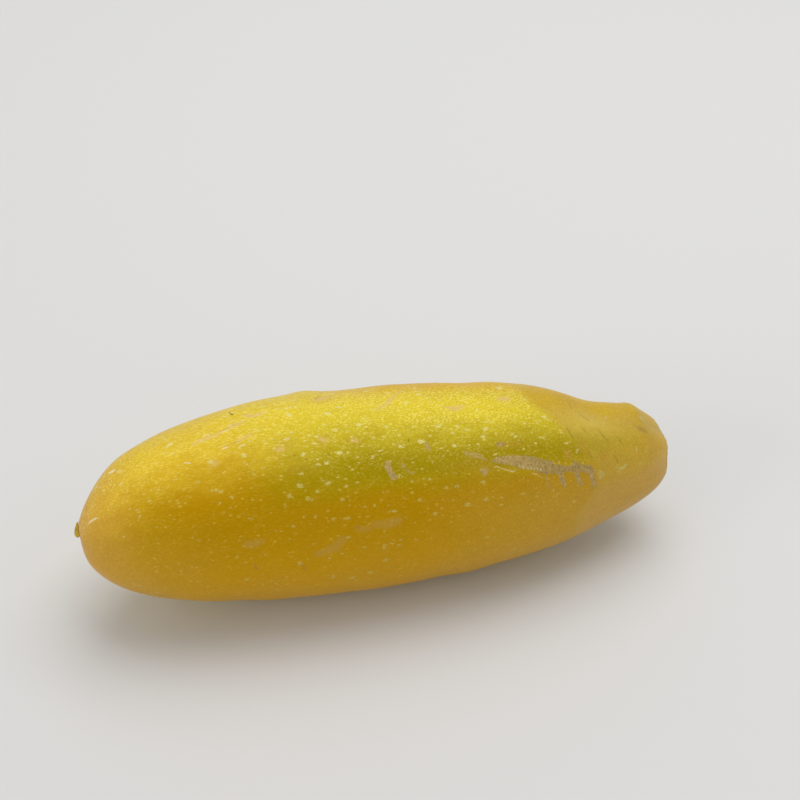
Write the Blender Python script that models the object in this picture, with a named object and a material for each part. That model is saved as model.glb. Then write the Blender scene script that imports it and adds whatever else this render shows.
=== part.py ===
"""A yellow zucchini, as picked, lying on its side.

The fruit grew as one piece, so it is one solid. Its skin is a turned, egg-like
profile that is swept along a slightly bent centre line, with five ribs that fade
away from the stem end, a waist behind the stem shoulder and a few low lumps. The
dried foot of the blossom closes one end and the scar of the snapped stalk the
other. The fruit rests on a small flat spot under its centre of mass.

+X runs along the fruit towards the stem end and +Z is up. The origin is the
middle of the flat spot. Along the fruit, stations are counted from the tip of
the blossom end; round it, angles are counted from +Y towards +Z.
"""

import math

import bmesh
import bpy

MM = 0.001

# Driving dimensions
LENGTH = 180 * MM
GIRTH_RADIUS = 29.85 * MM
REST_STATION = 85 * MM

# Profile: an ellipse-like power curve times a polynomial that moves the belly
# towards the blossom end and fills out the two ends
END_ROUNDNESS = 1.72
PROFILE_SKEW = (-0.136, 0.110, 0.093, 0.297)
WAIST_DEPTH = 3.4 * MM
WAIST_STATION = 161.4 * MM
WAIST_LENGTH = 19.9 * MM

# Centre line: its bend lies flat, and it falls a little towards the stem end, so
# that the lowest place of the skin is under the centre of mass. The very tip of
# its blossom end is moved in, aside and up, which sets the blossom foot off the
# middle
BEND_BOW = 3.0 * MM
BEND_TWIST = -6.1 * MM
PITCH = -0.0242
TIP_SHIFT = (0.7 * MM, 2.4 * MM, 2.8 * MM)
TIP_SHIFT_LENGTH = 0.7 * MM

# Ribs: plain near the stem end, faint along the belly
RIB_COUNT = 5
RIB_HEIGHT_AT_STEM = 0.7 * MM
RIB_HEIGHT_AT_BELLY = 0.3 * MM
RIB_FADE_LENGTH = 45 * MM
RIB_PHASE = math.radians(60)

# Low lumps and hollows: station, angle, height, half length, half angle
LUMPS = (
    (15 * MM, math.radians(52), 1.0 * MM, 10 * MM, math.radians(40)),
    (70.6 * MM, math.radians(55), 0.5 * MM, 4 * MM, math.radians(30)),
    (80 * MM, math.radians(55), -0.8 * MM, 12.5 * MM, math.radians(30)),
    (133.6 * MM, math.radians(58), 1.05 * MM, 14 * MM, math.radians(40)),
    (155.5 * MM, math.radians(60), -1.2 * MM, 6.9 * MM, math.radians(50)),
    (168.5 * MM, math.radians(75), 0.95 * MM, 2.5 * MM, math.radians(40)),
)

# The relief fades away inside this radius, towards the foot and the scar
RELIEF_FADE_RADIUS = 8 * MM

# Dried foot of the blossom, from its middle outwards: station, radius
BLOSSOM_FOOT = (
    (0.2 * MM, 0.0 * MM),
    (-0.2 * MM, 0.9 * MM),
    (-0.6 * MM, 1.6 * MM),
    (-0.5 * MM, 2.0 * MM),
    (0.0 * MM, 2.3 * MM),
    (0.4 * MM, 2.2 * MM),
)
FOOT_LOBE_SHARE = 0.10
FOOT_SLANT = 0.42

# Scar of the snapped stalk, from its rim inwards: height over the skin's last
# ring, radius
STEM_SCAR = (
    (0.4 * MM, 8.3 * MM),
    (0.5 * MM, 7.6 * MM),
    (0.1 * MM, 6.9 * MM),
    (-0.8 * MM, 6.1 * MM),
    (-1.2 * MM, 4.2 * MM),
    (-0.8 * MM, 2.2 * MM),
    (-0.6 * MM, 0.0 * MM),
)
SCAR_LOBE_SHARE = 0.07

# The skin starts and ends at these radii, where the foot and the scar take over
SKIN_START_RADIUS = 2.55 * MM
SKIN_END_RADIUS = 8.8 * MM

# Flat spot: how deep the belly is pressed flat where it rests
SPOT_DEPTH = 0.7 * MM

# Mesh
SIDES = 60
SKIN_RINGS = 68

SKIN_COLOUR = (0.72, 0.50, 0.02, 1.0)
SKIN_ROUGHNESS = 0.45


def profile_radius(station):
    """Radius of the plain profile at a station."""
    t = 2 * station / LENGTH - 1
    skew = 1 + sum(k * t ** (power + 1) for power, k in enumerate(PROFILE_SKEW))
    radius = GIRTH_RADIUS * max(0.0, 1 - t * t) ** (1 / END_ROUNDNESS) * skew
    waist = WAIST_DEPTH * math.exp(-(((station - WAIST_STATION) / WAIST_LENGTH) ** 2))
    return radius * (1 - waist / GIRTH_RADIUS)


def station_of_radius(radius, low, high):
    """Station between low and high where the profile has this radius, by bisection."""
    for _ in range(40):
        middle = (low + high) / 2
        if (profile_radius(middle) < radius) == (profile_radius(low) < radius):
            low = middle
        else:
            high = middle
    return (low + high) / 2


def bend(station):
    """How far the bend carries the centre line to one side."""
    t = 2 * station / LENGTH - 1
    return (BEND_BOW + BEND_TWIST * t) * (1 - t * t)


def centre_line(station):
    """Point of the centre line, before the fruit is set down on its flat spot."""
    inside = min(max(station, 0.0), LENGTH)
    fade = math.exp(-inside / TIP_SHIFT_LENGTH)
    return (
        station - REST_STATION + fade * TIP_SHIFT[0],
        bend(inside) - bend(REST_STATION) + fade * TIP_SHIFT[1],
        PITCH * (inside - REST_STATION) + fade * TIP_SHIFT[2],
    )


def turned_from(angle, other):
    """Signed turn from one angle to the other, between minus and plus half a turn."""
    return (angle - other + math.pi) % (2 * math.pi) - math.pi


def relief(station, angle):
    """Height of the ribs and lumps over the plain profile."""
    fade = math.exp(-(((LENGTH - station) / RIB_FADE_LENGTH) ** 2))
    rib = RIB_HEIGHT_AT_BELLY + (RIB_HEIGHT_AT_STEM - RIB_HEIGHT_AT_BELLY) * fade
    height = rib * math.cos(RIB_COUNT * (angle - RIB_PHASE))
    for place, direction, rise, half_length, half_angle in LUMPS:
        along = (station - place) / half_length
        around = turned_from(angle, direction) / half_angle
        height += rise * math.exp(-along * along - around * around)
    return height * min(1.0, profile_radius(station) / RELIEF_FADE_RADIUS)


def skin_ends():
    """Stations of the skin's first and last rings."""
    start = station_of_radius(SKIN_START_RADIUS, 0, LENGTH / 4)
    end = station_of_radius(SKIN_END_RADIUS, LENGTH * 3 / 4, LENGTH)
    return start, end


def skin_stations():
    """Stations of the skin's rings, closer together towards both ends."""
    start, end = skin_ends()
    low = math.acos(1 - 2 * start / LENGTH)
    high = math.acos(1 - 2 * end / LENGTH)
    steps = SKIN_RINGS - 1
    turns = [low + (high - low) * k / steps for k in range(SKIN_RINGS)]
    return [LENGTH / 2 * (1 - math.cos(turn)) for turn in turns]


def settled(height):
    """Height after the belly is pressed flat: 0 in the spot, then eased into the skin."""
    if height <= SPOT_DEPTH:
        return 0.0
    if height < 3 * SPOT_DEPTH:
        return (height - SPOT_DEPTH) ** 2 / (4 * SPOT_DEPTH)
    return height - 2 * SPOT_DEPTH


def foot_point(station, radius, angle):
    """Point of the blossom foot: a lobed button whose lower side stands out further."""
    lobed = radius * (1 + FOOT_LOBE_SHARE * math.cos(RIB_COUNT * (angle - RIB_PHASE)))
    slant = FOOT_SLANT * radius * math.sin(angle)
    return station + slant, lobed


def scar_point(height, radius, angle):
    """Point of the stem scar: a shallow dish whose rim follows the ribs."""
    lobed = radius * (1 + SCAR_LOBE_SHARE * math.cos(RIB_COUNT * (angle - RIB_PHASE)))
    return skin_ends()[1] + height, lobed


def skin_point(station, angle):
    """Station and radius of the skin at a station and an angle."""
    return station, profile_radius(station) + relief(station, angle)


def fruit_surface():
    """For each ring from blossom to stem, a function of the angle that gives (station, radius)."""
    rings = [
        lambda angle, s=s, r=r: foot_point(s, r, angle) for s, r in BLOSSOM_FOOT
    ]
    rings += [lambda angle, s=s: skin_point(s, angle) for s in skin_stations()]
    rings += [lambda angle, h=h, r=r: scar_point(h, r, angle) for h, r in STEM_SCAR]
    return rings


def belly_depth():
    """How far the lowest skin lies below the centre line at the flat spot."""
    depths = []
    for station in skin_stations():
        drop = profile_radius(station) + relief(station, math.radians(270))
        depths.append(drop - centre_line(station)[2])
    return max(depths)


def build_fruit():
    """Shapes a UV sphere into the fruit: its poles become the foot's and the scar's middles."""
    rings = fruit_surface()
    last = len(rings) - 1
    depth = belly_depth()
    mesh = bpy.data.meshes.new("zucchini")
    shape = bmesh.new()
    bmesh.ops.create_uvsphere(shape, u_segments=SIDES, v_segments=last, radius=1)
    for vert in shape.verts:
        from_stem_pole = math.acos(max(-1.0, min(1.0, vert.co.z)))
        ring = last - round(from_stem_pole / math.pi * last)
        angle = math.atan2(vert.co.y, vert.co.x)
        station, radius = rings[ring](angle)
        along, side, lift = centre_line(station)
        height = depth + lift + radius * math.sin(angle)
        vert.co = (along, side + radius * math.cos(angle), settled(height))
    shape.to_mesh(mesh)
    shape.free()
    mesh.shade_smooth()
    fruit = bpy.data.objects.new("zucchini", mesh)
    bpy.context.scene.collection.objects.link(fruit)
    return fruit


def paint(obj, name, colour, roughness):
    """Gives an object one plain material."""
    material = bpy.data.materials.new(name)
    material.use_nodes = True
    shader = material.node_tree.nodes["Principled BSDF"]
    shader.inputs["Base Color"].default_value = colour
    shader.inputs["Roughness"].default_value = roughness
    shader.inputs["Metallic"].default_value = 0.0
    obj.data.materials.append(material)


def main():
    for old in list(bpy.data.objects):
        bpy.data.objects.remove(old)
    paint(build_fruit(), "skin", SKIN_COLOUR, SKIN_ROUGHNESS)


main()
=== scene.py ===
"""Looks of a yellow zucchini that lies on its side on a pale floor.

The whole fruit is one closed mesh. It is worked out on a grid of rings along the
fruit and places round it, over the same profile, ribs and lumps as its solid, and
adds the fine shapes: an uneven skin, raised cork scars, scratches, puckers round
the dry ends, and more form in the dried foot of the blossom and in the scar of the
snapped stalk. What marks the skin is listed, and the mesh carries it to the
material as signed distances.

Lengths are in millimetres until a mesh or the scene is made from them. Stations
are counted along the fruit from the tip of the blossom end, and angles round it
from +Y towards +Z.
"""

import math

import bpy
import numpy as np
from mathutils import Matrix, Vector


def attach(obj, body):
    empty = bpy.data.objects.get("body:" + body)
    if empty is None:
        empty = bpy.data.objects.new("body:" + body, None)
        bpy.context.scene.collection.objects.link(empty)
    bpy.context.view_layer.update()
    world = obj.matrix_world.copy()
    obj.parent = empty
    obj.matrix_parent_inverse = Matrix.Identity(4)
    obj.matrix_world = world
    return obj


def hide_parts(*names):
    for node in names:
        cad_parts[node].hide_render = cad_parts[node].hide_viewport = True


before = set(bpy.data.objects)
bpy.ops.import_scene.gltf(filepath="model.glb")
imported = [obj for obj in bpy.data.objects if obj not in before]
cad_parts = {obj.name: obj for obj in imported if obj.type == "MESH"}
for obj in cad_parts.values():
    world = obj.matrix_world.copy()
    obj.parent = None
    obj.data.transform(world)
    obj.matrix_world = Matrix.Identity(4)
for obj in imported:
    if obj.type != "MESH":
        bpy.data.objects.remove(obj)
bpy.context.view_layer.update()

MM = 0.001

# Form, as in the solid
LENGTH = 180
GIRTH_RADIUS = 29.85
REST_STATION = 85
END_ROUNDNESS = 1.72
PROFILE_SKEW = (-0.136, 0.110, 0.093, 0.297)
WAIST_DEPTH = 3.4
WAIST_STATION = 161.4
WAIST_LENGTH = 19.9
BEND_BOW = 3.0
BEND_TWIST = -6.1
PITCH = -0.0242
TIP_SHIFT = (0.7, 2.4, 2.8)
TIP_SHIFT_LENGTH = 0.7
RIB_COUNT = 5
RIB_HEIGHT_AT_STEM = 0.7
RIB_HEIGHT_AT_BELLY = 0.3
RIB_FADE_LENGTH = 45
RIB_PHASE = 60
RELIEF_FADE_RADIUS = 8
SPOT_DEPTH = 0.7

# Low lumps and hollows: station, angle, height, half length, half angle
LUMPS = (
    (15, 52, 1.0, 10, 40),
    (70.6, 55, 0.5, 4, 30),
    (80, 55, -0.8, 12.5, 30),
    (133.6, 58, 1.05, 14, 40),
    (155.5, 60, -1.2, 6.9, 50),
    (168.5, 75, 0.95, 2.5, 40),
)

# Dried foot of the blossom, from its middle outwards: station, radius
BLOSSOM_FOOT = ((0.2, 0.0), (-0.2, 0.9), (-0.6, 1.6), (-0.5, 2.0), (0.0, 2.3), (0.4, 2.2))
FOOT_LOBE_SHARE = 0.10
FOOT_SLANT = 0.42
FOOT_DIP = 0.25
FOOT_DIP_RADIUS = 0.8
SKIN_START_RADIUS = 2.55
# Waves round the foot: height, how many go round, how far they twist from first ring to last.
# Crinkles are shares of the radius
FOOT_CRINKLES = ((0.05, 13, 9), (0.04, 22, -14))
FOOT_CREASES = ((0.10, 9, 20),)

# Scar of the snapped stalk, from its rim inwards: height over the skin, radius. It is
# rounder and fuller than the solid's
STEM_SCAR = (
    (0.35, 8.3), (0.75, 7.6), (1.05, 6.9), (1.1, 6.3), (0.6, 5.7), (0.0, 4.9), (-0.2, 2.6), (0.0, 0.0),
)
SCAR_LOBE_SHARE = 0.07
SKIN_END_RADIUS = 8.8
# A ring of fibre bundles in the scar, and waves round it: height, how many go round, how far
# they twist in a millimetre of radius
BUNDLE_RING_RADIUS = 4.0
BUNDLE_REACH = 0.7
BUNDLE_HEIGHT = 0.30
SCAR_FIBRES = ((0.10, 31, 2.2), (0.08, 17, -3.1))
SCAR_NOTCHES = ((0.07, 23, 0),)

# Unevenness of the skin: seeded waves, which die out in the flat spot and at both ends. The
# spot's limits are followed by the width over which each is soft
UNEVEN_SEED = 7
UNEVEN_WAVES = 26
UNEVEN_TURNS = 9
UNEVEN_LENGTHS = (14, 60)
UNEVEN_HEIGHT = 0.035
UNEVEN_FADE_RADIUS = 20
SPOT_STATIONS = (55, 115, 25)
SPOT_ANGLES = (245, 295, 20)

# Puckers round the dry ends: how many, how far they sway with the ribs, how soon they die out
PUCKER_HEIGHT = 0.06
FOOT_PUCKERS = (15, 0.8, 2.0)
SCAR_PUCKERS = (20, 1.5, 2.5)

# Raised cork and its knobs, as a share of its height and with turns along and round; sunk
# scratches; and the distances to a stroke where each of the two starts and is full
CORK_HEIGHT = 0.14
KNOB_SHARE = 0.25
KNOB_TURNS = (7.1, 160)
CORK_EDGE = (0.35, -0.35)
SCRATCH_DEPTH = 0.06
SCRATCH_EDGE = (0.3, -0.1)

# Mesh: places round the fruit, and rings of the skin, the foot and the scar. They are closer
# together where the skin is marked, given as limits and the width over which each is soft
SIDES = 250
SKIN_RINGS = 350
FOOT_RINGS = 20
SCAR_RINGS = 26
MARKED_STATIONS = (28, 150, 8)
MARKED_ANGLES = (62, 162, 12)
RINGS_CLOSER = 1.3
SIDES_CLOSER = 2.4
DENSITY_STEPS = 4000
HALVINGS = 40

# Marks on the skin. Each is a stroke through points of station, angle and half width
CORK_STROKES = (
    # The comb: its back, the bulge over it, then its teeth from left to right
    ((116, 131.7, 0.35), (117.4, 131.4, 0.8), (119.5, 131.8, 1.2), (122, 132.5, 1.5), (125, 134.2, 1.85),
     (128, 135.4, 1.95), (130.5, 137.8, 1.95), (132.5, 139, 1.9), (134.5, 141, 1.3), (136.4, 141.4, 1.2),
     (138.4, 142, 0.65), (141.2, 141.6, 1.3), (143.4, 143.2, 0.9), (145.4, 144.8, 1.35), (146.2, 147.4, 1.1)),
    ((117.2, 129.6, 0.3), (117.8, 131.4, 0.5)),
    ((119.6, 130.2, 0.35), (121.4, 129.8, 0.35)),
    ((141, 140.8, 1.05), (141.1, 138.4, 0.65)),
    ((131.3, 142, 0.3), (131.5, 148, 0.26), (132, 152.6, 0.2)),
    ((135.9, 142.6, 1.0), (136.2, 147, 0.8), (136.6, 151, 0.75), (137.2, 154, 0.4)),
    ((141.1, 143.6, 1.0), (141.3, 148, 0.8), (141.9, 152.6, 0.7), (142.4, 155.4, 0.4)),
    ((146, 147, 1.0), (146.2, 151, 0.85), (146.7, 156, 0.75), (147.3, 159.6, 0.4)),
    # Lone patches
    ((86.2, 126.8, 0.7), (86.2, 129.2, 1.0), (86.3, 131.6, 0.85), (87.1, 134.4, 1.0)),
    ((98.4, 118.8, 0.35), (98.8, 120.8, 0.3)),
    ((118.8, 122.6, 0.55), (120.3, 121.6, 0.35)),
    ((112.6, 136.6, 0.35), (113.6, 137.6, 0.4)),
)
FRINGE_STROKES = (
    ((123.6, 135.7, 0.12), (123.9, 137.6, 0.14)),
    ((124.5, 136.1, 0.12), (124.9, 138.5, 0.17)),
    ((125.7, 136.6, 0.12), (126, 138.6, 0.17)),
    ((126.7, 137, 0.12), (127.1, 138.9, 0.17)),
    ((127.7, 137.6, 0.12), (128.1, 139.5, 0.17)),
    ((128.8, 138.1, 0.12), (129.2, 140, 0.17)),
    ((129.8, 138.9, 0.12), (130.1, 140.6, 0.14)),
)
THIN_CORK_STROKES = (
    ((108.3, 125.5, 0.36), (110.2, 126.6, 0.65), (112.2, 127.6, 0.7), (113.7, 129.7, 0.45),
     (114.3, 130.7, 0.25)),
    ((112.4, 136.4, 0.6), (113.6, 136.4, 0.7), (112.8, 138.5, 0.6)),
    ((90.5, 128.7, 0.42), (90.4, 130.3, 0.53)),
    ((98.2, 118.4, 0.53), (98.5, 120.8, 0.65)),
    ((91.5, 132.7, 0.3), (92.3, 133.6, 0.3), (93.3, 133.3, 0.25)),
)
GRAZE_STROKES = (
    # On the sheen, from left to right
    ((35.2, 92, 0.3), (37.4, 90.1, 0.65), (39.9, 89.1, 0.7), (42.1, 88.4, 0.53), (43.8, 87.7, 0.36)),
    ((45.4, 86.6, 0.3), (47.2, 85.4, 0.4), (49.9, 83.3, 0.27)),
    ((46.8, 99.7, 0.24), (48.9, 98.2, 0.47), (51, 96.5, 0.3)),
    ((50.8, 78.5, 0.24), (53.1, 81.1, 0.42), (55.9, 80.7, 0.3)),
    ((38.5, 111.7, 0.36), (40.4, 110.6, 0.65)),
    ((57.3, 111.2, 0.47), (58.4, 110.8, 0.6)),
    ((69.7, 108.2, 0.53), (70.8, 109.5, 0.53)),
    ((71.8, 77.5, 0.45), (73.7, 74.7, 0.77), (75.8, 72.4, 0.6)),
    ((78.2, 112.3, 0.42), (79.5, 113.3, 0.47)),
    ((97.8, 72.7, 0.24), (94.5, 78.6, 0.53), (92, 84.3, 0.7), (90.2, 88, 0.7), (87.5, 90.7, 0.3)),
    ((107.8, 93.5, 0.6), (110, 94.2, 0.9), (112.4, 92.5, 0.6)),
    ((124.7, 86, 0.6), (127, 86.5, 0.7)),
    # Low on the flank
    ((44.6, 162.3, 0.8), (46.6, 161.2, 1.3), (48.8, 160.3, 0.9)),
    ((63.6, 172.2, 0.8), (68.2, 169.4, 1.3), (70.6, 165.6, 1.0)),
    ((75, 160.7, 0.7), (78, 160.7, 0.6)),
    ((80.4, 158.6, 1.0), (83.4, 159.6, 1.45), (86.6, 158.8, 1.2)),
)
SMUDGE_STROKES = (
    ((42.9, 100.2, 0.1), (44.4, 99.9, 0.15), (46.4, 99.4, 0.18), (47.7, 99.4, 0.12)),
    ((43, 87.4, 0.15), (45.4, 86.1, 0.12), (47.5, 84.8, 0.12)),
    ((45.8, 94.8, 0.15), (46.9, 93.8, 0.15)),
    ((47.9, 73.9, 0.15), (49, 73.4, 0.18)),
    ((118.6, 122.5, 0.47), (119.8, 121.1, 0.65), (120.4, 122.5, 0.53)),
    ((75, 158.4, 0.3), (75.4, 159.2, 0.36)),
    ((45.8, 174.5, 0.24), (46.2, 176, 0.27), (46.6, 178.8, 0.42)),
    ((58.9, 177.6, 0.24), (59.2, 179.3, 0.27), (59.7, 181.9, 0.42)),
    ((56.7, 157.4, 0.2), (56.9, 157.9, 0.2)),
    ((103.6, 203.4, 0.5), (104.4, 204.8, 0.5)),
    ((108.6, 202.8, 0.4), (109.4, 204, 0.4)),
    # The dash on the stem end and the slanted nicks before it
    ((165.8, 108.4, 0.45), (166.7, 111, 0.95), (167.6, 113.4, 0.95), (168.8, 116, 0.5)),
)
NICK_STROKES = (
    ((151.9, 111.9, 0.15), (152.8, 118.9, 0.27), (153.8, 124.3, 0.18)),
    ((141.4, 112.2, 0.15), (142, 116.1, 0.24), (142.3, 119.9, 0.15)),
    ((146.5, 110.8, 0.12), (147.1, 114.2, 0.18), (147.5, 116.5, 0.12)),
    ((147.8, 91.6, 0.1), (148.7, 97.1, 0.15), (150.2, 102.4, 0.12)),
    ((154.8, 136.9, 0.12), (155.9, 143.7, 0.21)),
    ((146.4, 83.9, 0.09), (146.5, 89.4, 0.12)),
    ((142.5, 93.1, 0.09), (142.7, 96.8, 0.12)),
    ((146.1, 131.9, 0.12), (147.1, 136, 0.18)),
    ((157.3, 120.4, 0.15), (158.4, 127.5, 0.2)),
)
SCRATCH_STROKES = (
    # The loop and dashes under the comb, then the dashes over and between its teeth
    ((116, 135.4, 0.13), (116.9, 134.8, 0.16), (118.7, 136.8, 0.16), (121.1, 138.8, 0.16), (122, 138.7, 0.16),
     (122.5, 137.3, 0.15)),
    ((127, 141.5, 0.1), (128.8, 142.6, 0.16)),
    ((128.7, 143.3, 0.1), (130.5, 145.3, 0.1)),
    ((134.4, 134.6, 0.1), (134.3, 136.1, 0.14)),
    ((136.3, 135.3, 0.13), (136.1, 137.4, 0.17)),
    ((138.2, 136.8, 0.1), (138.1, 138.5, 0.14)),
    ((143.9, 137.7, 0.12), (143.6, 139.4, 0.16)),
    ((133.3, 154.1, 0.15), (133.3, 155.5, 0.24)),
    ((127.2, 150.3, 0.18), (127.3, 151.3, 0.21)),
    ((132.7, 148.3, 0.12), (132.7, 149.1, 0.13)),
    # In the grazes on the sheen
    ((43.4, 88.7, 0.15), (44.3, 87.8, 0.18), (45.5, 87.7, 0.18), (47, 87.3, 0.15)),
    ((45.7, 84.9, 0.15), (46.8, 84.9, 0.15)),
    ((37.1, 90.8, 0.15), (38.2, 89.9, 0.18)),
    ((49.3, 83.3, 0.1), (50.9, 82.8, 0.1)),
    ((38.7, 86.3, 0.12), (40.1, 86.3, 0.15)),
    ((42.9, 101.5, 0.24), (44.3, 101, 0.24)),
    ((43.2, 99.4, 0.1), (44.3, 98.8, 0.15)),
    ((47.4, 103.1, 0.15), (49.2, 102.4, 0.18)),
    ((53.1, 81.4, 0.12), (55.1, 80.6, 0.18)),
    ((56, 80.1, 0.15), (57.6, 79.8, 0.18)),
    ((60.6, 78.8, 0.12), (61.5, 79.1, 0.12)),
    ((62.7, 80.5, 0.2), (64.3, 79.5, 0.18)),
    ((65.1, 79.4, 0.15), (66.8, 78.8, 0.15)),
    ((59.6, 105.2, 0.15), (61, 104.8, 0.24)),
    ((32, 103.9, 0.18), (33.6, 105.7, 0.18)),
    ((74.1, 143.2, 0.16), (73.9, 144.1, 0.18)),
    # At the blossom end
    ((3.9, 113.1, 0.16), (4.6, 113.1, 0.34), (5.5, 113.6, 0.34), (6.4, 115.2, 0.2)),
    ((11.5, 72.7, 0.3), (13, 75.9, 0.38)),
    ((6.6, 67.1, 0.12), (7.8, 71.7, 0.15)),
    ((16.7, 125.6, 0.1), (17.8, 126.1, 0.12)),
)
SPECK_STROKES = (
    ((47.3, 70.4, 0.26), (47.4, 71.2, 0.26)),
    ((47.6, 72.8, 0.28), (47.9, 74.2, 0.38)),
    ((93.6, 114.5, 0.18), (93.5, 115.7, 0.24)),
    ((64.3, 118.9, 0.2), (64.3, 119.9, 0.2)),
    ((83, 105.3, 0.18), (83.2, 105.9, 0.18)),
    ((71.4, 114.8, 0.12), (71.4, 115.1, 0.15)),
    ((70.9, 118.3, 0.15), (70.9, 118.8, 0.15)),
    ((69.5, 79.1, 0.1), (70.1, 79.2, 0.12)),
    ((95.8, 88, 0.12), (95.9, 88.4, 0.12)),
    ((93, 90.1, 0.12), (93.1, 90.6, 0.12)),
    ((78.9, 83.5, 0.1), (79.4, 83, 0.1)),
    ((90.3, 130.3, 0.2), (90.4, 130.8, 0.2)),
    ((118.9, 122.4, 0.15), (119, 122.7, 0.15)),
    ((120.3, 121.8, 0.15), (120.4, 122.2, 0.15)),
    ((119.8, 120.2, 0.12), (119.9, 120.5, 0.12)),
    ((119.3, 103.4, 0.15), (119.5, 104.4, 0.2)),
    ((61.3, 115.8, 0.2), (61.5, 116.2, 0.15)),
    ((115.3, 154.5, 0.12), (115.3, 154.9, 0.12)),
    ((106.4, 168.8, 0.12), (106.5, 169.2, 0.12)),
    ((75.2, 158.6, 0.12), (75.3, 158.9, 0.12)),
)
# Pale hatching and dabs on the stem end
DAB_STROKES = (
    ((148.4, 153.6, 0.14), (149.7, 148.8, 0.14)),
    ((149.1, 154.9, 0.12), (150.6, 150.6, 0.12)),
    ((148.1, 150.4, 0.12), (149.1, 147.6, 0.12)),
    ((155.6, 153, 0.12), (156.7, 148.9, 0.14)),
    ((156.5, 152.2, 0.12), (157.8, 148.2, 0.14)),
    ((157.6, 151.6, 0.1), (159, 147.4, 0.12)),
    ((154.9, 148.7, 0.1), (155.7, 146.2, 0.12)),
    ((162.7, 137.4, 0.12), (163.2, 133.1, 0.14)),
    ((166.2, 139.4, 0.12), (166.7, 135.2, 0.14)),
    ((163.4, 153.6, 0.1), (163.8, 149.3, 0.12)),
    ((142.1, 131.4, 0.16), (142.9, 129.3, 0.2)),
    ((157, 92, 0.2), (157.4, 94, 0.2)),
    ((169, 90.6, 0.3), (169.6, 95, 0.3)),
)
STROKES = {
    "cork": CORK_STROKES, "thin_cork": THIN_CORK_STROKES, "fringe": FRINGE_STROKES,
    "graze": GRAZE_STROKES, "smudge": SMUDGE_STROKES, "nick": NICK_STROKES,
    "scratch": SCRATCH_STROKES, "speck": SPECK_STROKES, "dab": DAB_STROKES,
}

# A distance that is far from every mark
FAR_AWAY = 9.0

# Soft stains: station, angle, half length, half angle, strength
RUST_STAINS = (
    (139.4, 131.4, 1.2, 3.3, 1.0),
    (144.4, 126.5, 1.6, 6, 0.4),
    (151.4, 138.1, 1.3, 6, 0.5),
    (169.2, 137.6, 3.4, 17, 0.55),
    (147, 78, 4, 9, 0.4),
    (113.4, 135, 3.5, 4, 0.4),
    (110, 130, 3, 3, 0.3),
    (70, 110, 3, 3.5, 0.3),
    (78, 112, 2, 3, 0.25),
    (122, 122, 4, 3, 0.25),
    (104, 132, 4, 2.5, 0.25),
    (73.5, 76, 4, 5, 0.35),
    (62, 124, 4, 3, 0.3),
    (60, 108, 3, 4, 0.25),
)
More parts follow.
